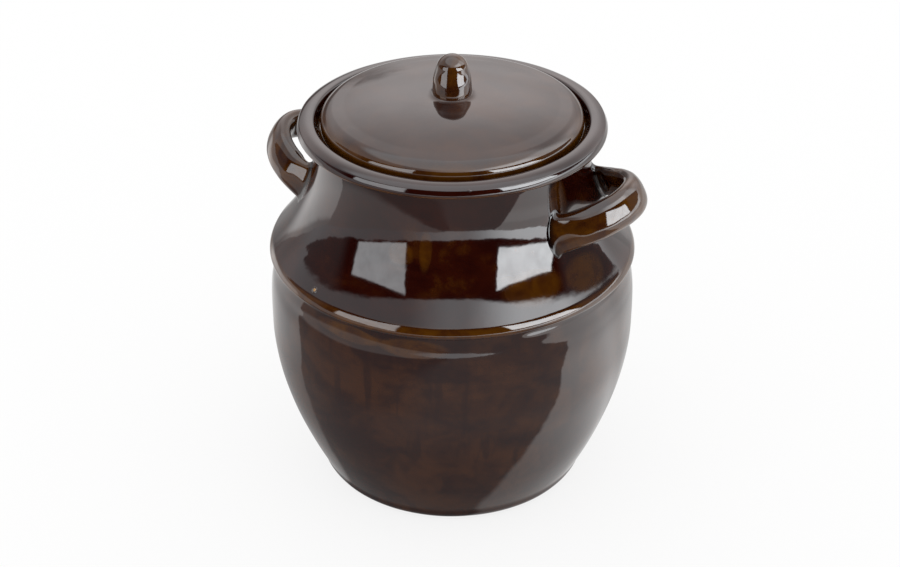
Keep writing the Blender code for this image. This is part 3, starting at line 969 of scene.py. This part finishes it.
class CROCK_OT_weights(bpy.types.Operator):
    """Cut and bevel the two half-moon pressing weights"""

    bl_idname = "crock.weights"
    bl_label = "Cut weights"
    bl_options = {"REGISTER", "UNDO"}

    def execute(self, context):
        sizes = context.scene.weight_sizes
        right = self.cut(sizes)
        left = opposite(right, "left_half_moon")
        material = fired_clay(context.scene.glaze_look)
        finish_piece(right, material, "right_weight", "weight_right")
        finish_piece(left, material, "left_weight", "weight_left")
        return {"FINISHED"}

    def cut(self, sizes):
        """A disc cut along its middle, with a finger notch and worn edges."""
        depth = WEIGHT_HIGH.z - WEIGHT_LOW.z
        middle = (0, 0, (WEIGHT_HIGH.z + WEIGHT_LOW.z) / 2)
        disc = bpy.ops.mesh.primitive_cylinder_add
        whole = {"vertices": 160, "radius": sizes.radius, "depth": depth, "location": middle}
        hole = {"vertices": 64, "radius": sizes.finger_radius, "depth": 2 * depth, "location": middle}
        piece = start_piece("right_half_moon", disc, **whole)
        bpy.ops.object.transform_apply(location=True, rotation=True, scale=True)
        bpy.ops.object.mode_set(mode="EDIT")
        bpy.ops.mesh.select_all(action="SELECT")
        plane = (sizes.split / 2, 0, 0)
        bpy.ops.mesh.bisect(plane_co=plane, plane_no=(1, 0, 0), use_fill=True, clear_inner=True)
        weld()
        cutter = start_piece("finger_cutter", disc, **hole)
        apply_modifier(piece, "Finger hole", "BOOLEAN", operation="DIFFERENCE", object=cutter)
        bpy.data.objects.remove(cutter)
        limit = {"limit_method": "ANGLE", "angle_limit": SHARP_ANGLE}
        apply_modifier(piece, "Worn edges", "BEVEL", width=sizes.edge, segments=5, **limit)
        return piece


class CROCK_OT_stage(bpy.types.Operator):
    """Set out the pale floor, the studio round the crock and the camera"""

    bl_idname = "crock.stage"
    bl_label = "Set stage"
    bl_options = {"REGISTER", "UNDO"}

    def execute(self, context):
        look = context.scene.studio_look
        disc = {"vertices": 96, "radius": look.floor_radius, "fill_type": "NGON", "location": (0, 0, 0)}
        floor = start_piece("pale_floor", bpy.ops.mesh.primitive_circle_add, **disc)
        floor.data.materials.append(floor_material())
        context.scene.world = studio_world()
        place_camera(context.scene, look)
        context.scene.view_settings.view_transform = "Standard"
        return {"FINISHED"}


def place_camera(scene, look):
    """The camera at the photograph's angle."""
    target = Vector((0, 0, look.target_height))
    level = math.cos(CAMERA_ELEVATION)
    back = Vector((TOWARDS[0] * level, TOWARDS[1] * level, math.sin(CAMERA_ELEVATION)))
    lens = bpy.data.cameras.new("camera")
    lens.lens = look.lens
    lens.sensor_width = 36
    lens.shift_x = -0.0024
    camera = bpy.data.objects.new("camera", lens)
    scene.collection.objects.link(camera)
    camera.location = target + look.distance * back
    camera.rotation_euler = back.to_track_quat("Z", "Y").to_euler()
    scene.camera = camera


def floor_material():
    """A pale floor that keeps the crock's shadow. Gloss sees painted light instead: a table, dim in front,
    lit from the sides and darker round the crock's foot as a painted shadow.
    """
    material, r, place = new_material("pale_floor")
    right = r.dot(place, ACROSS)
    near = r.dot(place, TOWARDS)
    far = r.measure("LENGTH", place)
    away = abs(r.azimuth(place))

    # The dim part in front, painted shade with a ragged edge on the crock's side and a slanting one at the
    # right, darker still close to the crock's foot as a painted shadow
    ragged = 0.012 * (r.noise(place, 30) - 0.5)
    far_left = (-right).rise(0.6, 0.8)
    edge = near - 0.073 - 0.024 * right.rise(-0.05, 0.05) - 0.25 * right + ragged
    edge = edge - 0.06 * far_left
    beyond = right - 0.415 - 0.55 * (near - 0.155)
    dim = edge.rise(-0.004, 0.004) * (1 - beyond.rise(-0.01, 0.01))
    dim_level = (0.25 + 0.35 * far.rise(0.10, 0.24)) * (1 - 0.35 * (-right).rise(0.04, 0.2))
    dim_level = dim_level + 0.6 * far_left

    # The lit part at the left, which falls off behind and far out, and is dimmer close to the crock as a
    # painted shadow
    left_level = 0.45 + 0.65 * far.rise(0.13, 0.36) + 0.9 * far.rise(0.4, 0.9)
    left_level = left_level * (1 - 0.75 * away.rise(130, 142) * far.rise(0.3, 0.6))
    left_level = left_level * (1 - 0.45 * far.rise(1.8, 3.2))

    # The lit part at the right, brighter in a far band under the lamp, which falls off behind, and is dimmer
    # close to the crock as a painted shadow
    right_level = 0.8 + 0.75 * far.rise(0.11, 0.19) + 0.8 * far.rise(0.17, 0.35)
    right_level = right_level + 0.45 * far.band(1.1, 1.9, 0.2)
    right_level = right_level * (1 - 0.42 * away.rise(92, 112)) * (1 - 0.4 * away.rise(110, 140))

    # Both sides joined, with one level for the part far behind
    side = right.rise(-0.15, 0.15)
    behind_level = 0.85
    lit_level = left_level * (1 - side) + right_level * side
    lit_level = lit_level + (behind_level - lit_level) * away.rise(145, 160) * far.rise(0.5, 0.8)
    level = dim_level * dim + lit_level * (1 - dim)

    # Gloss sees these levels, the camera sees nearly white paper, and other light meets a pale floor
    mirrored = r.shader("ShaderNodeEmission", {"Color": (1, 0.99, 0.985, 1), "Strength": level})
    pale = r.shader("ShaderNodeBsdfDiffuse", {"Color": (0.93, 0.93, 0.93, 1)})
    white = r.shader("ShaderNodeEmission", {"Color": (1, 1, 1, 1), "Strength": 1.0})
    paper = r.shader("ShaderNodeBsdfDiffuse", {"Color": (1, 1, 1, 1)})
    whiteness = 0.82
    seen = r.shader("ShaderNodeMixShader", {0: whiteness, 1: paper, 2: white})
    path = r.node("ShaderNodeLightPath").outputs
    lit = r.shader("ShaderNodeMixShader", {0: path["Is Camera Ray"], 1: pale, 2: seen})
    both = r.shader("ShaderNodeMixShader", {0: path["Is Glossy Ray"], 1: lit, 2: mirrored})
    r.node("ShaderNodeOutputMaterial", None, {"Surface": both})
    return material


def studio_world():
    """Plain even light, white to the camera. Gloss sees a white tent, a dark opening and two soft lamps."""
    world = bpy.data.worlds.new("studio")
    world.use_nodes = True
    r = Recipe(world.node_tree)
    way = r.node("ShaderNodeTexCoord").outputs["Generated"]
    across = r.dot(way, ACROSS)
    azimuth = r.azimuth(way)
    height = r.dot(way, UP)
    elevation = height.math("DEGREES", height.math("ARCSINE", height))
    ragged = r.noise(way, 9, detail=3) - 0.5
    roof_level = 2.75

    # The tent's front, brightest at the right
    front = 1.1 + 1.3 * azimuth.rise(-35, 0) + 5.5 * azimuth.rise(8, 52)
    front = front - 3.4 * azimuth.rise(74, 92) - 3 * azimuth.rise(106, 130)
    front = front + (roof_level - front) * elevation.rise(46, 56)

    # Its back, brighter higher up and at the right, with a dark fold where it meets the roof
    back = 0.85 + 0.55 * elevation.rise(0, 14) + 0.85 * elevation.rise(12, 28) - 0.2 * elevation.rise(32, 50)
    back = back * (1 - 0.3 * abs(across).rise(0.1, 0.4) + 0.6 * across.rise(0.45, 0.75))
    fold = elevation + 9 * (r.noise(way, 3.2, detail=1) - 0.5)
    back = back * (1 - 0.45 * fold.band(57, 58.5, 1))

    # Front and back joined under the roof, and a low dark screen at the left behind
    behind = (-r.dot(way, TOWARDS)).rise(0.33, 0.66)
    tent = front + (back - front) * behind
    tent = tent + (roof_level - tent) * elevation.rise(56, 62)
    screen = (azimuth + 12 * ragged).band(-172, -138, 4) * elevation.band(-6, 11, 3)
    tent = tent * (1 - 0.7 * screen)

    # The opening in front, which is lower towards its sides, and the dim room seen through it
    top = 37.5 - (19 - 3 * azimuth.rise(0, 60)) * (abs(azimuth) / 100) ** 3
    bottom = 3.2 + 3 * ragged
    opening = (top - elevation).rise(-0.8, 0.8) * (elevation - bottom).rise(-0.4, 0.4)
    opening = opening * (azimuth + 20 * ragged).band(-113, 121, 0.8)
    room = 0.02 + 0.23 * (1 - azimuth.rise(-88, -76)) + 0.25 * azimuth.rise(76, 84)
    level = tent + (room - tent) * opening

    # Two soft lamps behind cloth in the opening, each bounded by four soft edges
    soft = 0.7
    sill = 0.5
    left_lamp = azimuth.band(-71.8, -33.2, soft) * (elevation - 4.5).rise(-sill, sill)
    left_lamp = left_lamp * (21.5 + 0.345 * (azimuth + 71.5) - elevation).rise(-soft, soft)
    right_lamp = (azimuth - 36.3 + 0.16 * elevation).rise(-soft, soft)
    right_lamp = right_lamp * (81.4 - 0.52 * elevation - azimuth).rise(-soft, soft)
    right_lamp = right_lamp * (elevation - 8.3 + 0.08 * (azimuth - 34)).rise(-sill, sill)
    right_lamp = right_lamp * (31 - 0.29 * (azimuth - 32) - elevation).rise(-soft, soft)
    cloth = 0.7 + 0.6 * r.noise(way, 7, detail=4, roughness=0.6)
    left_power = 4.9
    right_power = 13.5
    level = level + (left_power * cloth - level) * left_lamp
    level = level + (right_power * cloth - level) * right_lamp

    # Only gloss sees all this, cool in front and warm behind
    path = r.node("ShaderNodeLightPath").outputs
    glossy = Field(r, path["Is Glossy Ray"])
    strength = 1.0 + (level - 1.0) * glossy
    tint = r.mix(behind, (0.93, 0.97, 1), (1, 0.955, 0.95))
    tint = r.mix(glossy, (1, 1, 1), tint)
    background = r.shader("ShaderNodeBackground", {"Color": tint, "Strength": strength})
    white = r.shader("ShaderNodeBackground", {"Color": (1, 1, 1, 1), "Strength": 1.0})
    both = r.shader("ShaderNodeMixShader", {0: path["Is Camera Ray"], 1: background, 2: white})
    r.node("ShaderNodeOutputWorld", None, {"Surface": both})
    return world


class CROCK_PT_panel(bpy.types.Panel):
    """Makes the crock piece by piece"""

    bl_idname = "CROCK_PT_panel"
    bl_label = "Fermentation crock"
    bl_space_type = "VIEW_3D"
    bl_region_type = "UI"
    bl_category = "Crock"

    def draw(self, context):
        for group in GROUPS:
            values = getattr(context.scene, group)
            column = self.layout.column(align=True)
            for name in values.__annotations__:
                column.prop(values, name)
        for operator in OPERATORS:
            self.layout.operator(operator.bl_idname)


OPERATORS = (
    CROCK_OT_body,
    CROCK_OT_handles,
    CROCK_OT_lid,
    CROCK_OT_knob,
    CROCK_OT_weights,
    CROCK_OT_stage,
)


def register():
    """Registers the sizes, the operators and the panel."""
    for name, group in GROUPS.items():
        bpy.utils.register_class(group)
        setattr(bpy.types.Scene, name, bpy.props.PointerProperty(type=group))
    for item in (*OPERATORS, CROCK_PT_panel):
        bpy.utils.register_class(item)


def unregister():
    """Takes away what register added."""
    for item in (CROCK_PT_panel, *reversed(OPERATORS)):
        bpy.utils.unregister_class(item)
    for name, group in GROUPS.items():
        delattr(bpy.types.Scene, name)
        bpy.utils.unregister_class(group)


def main():
    """Sets the stage and makes every piece."""
    register()
    for make in (
        bpy.ops.crock.stage,
        bpy.ops.crock.body,
        bpy.ops.crock.handles,
        bpy.ops.crock.lid,
        bpy.ops.crock.knob,
        bpy.ops.crock.weights,
    ):
        make()


if __name__ == "__main__":
    main()
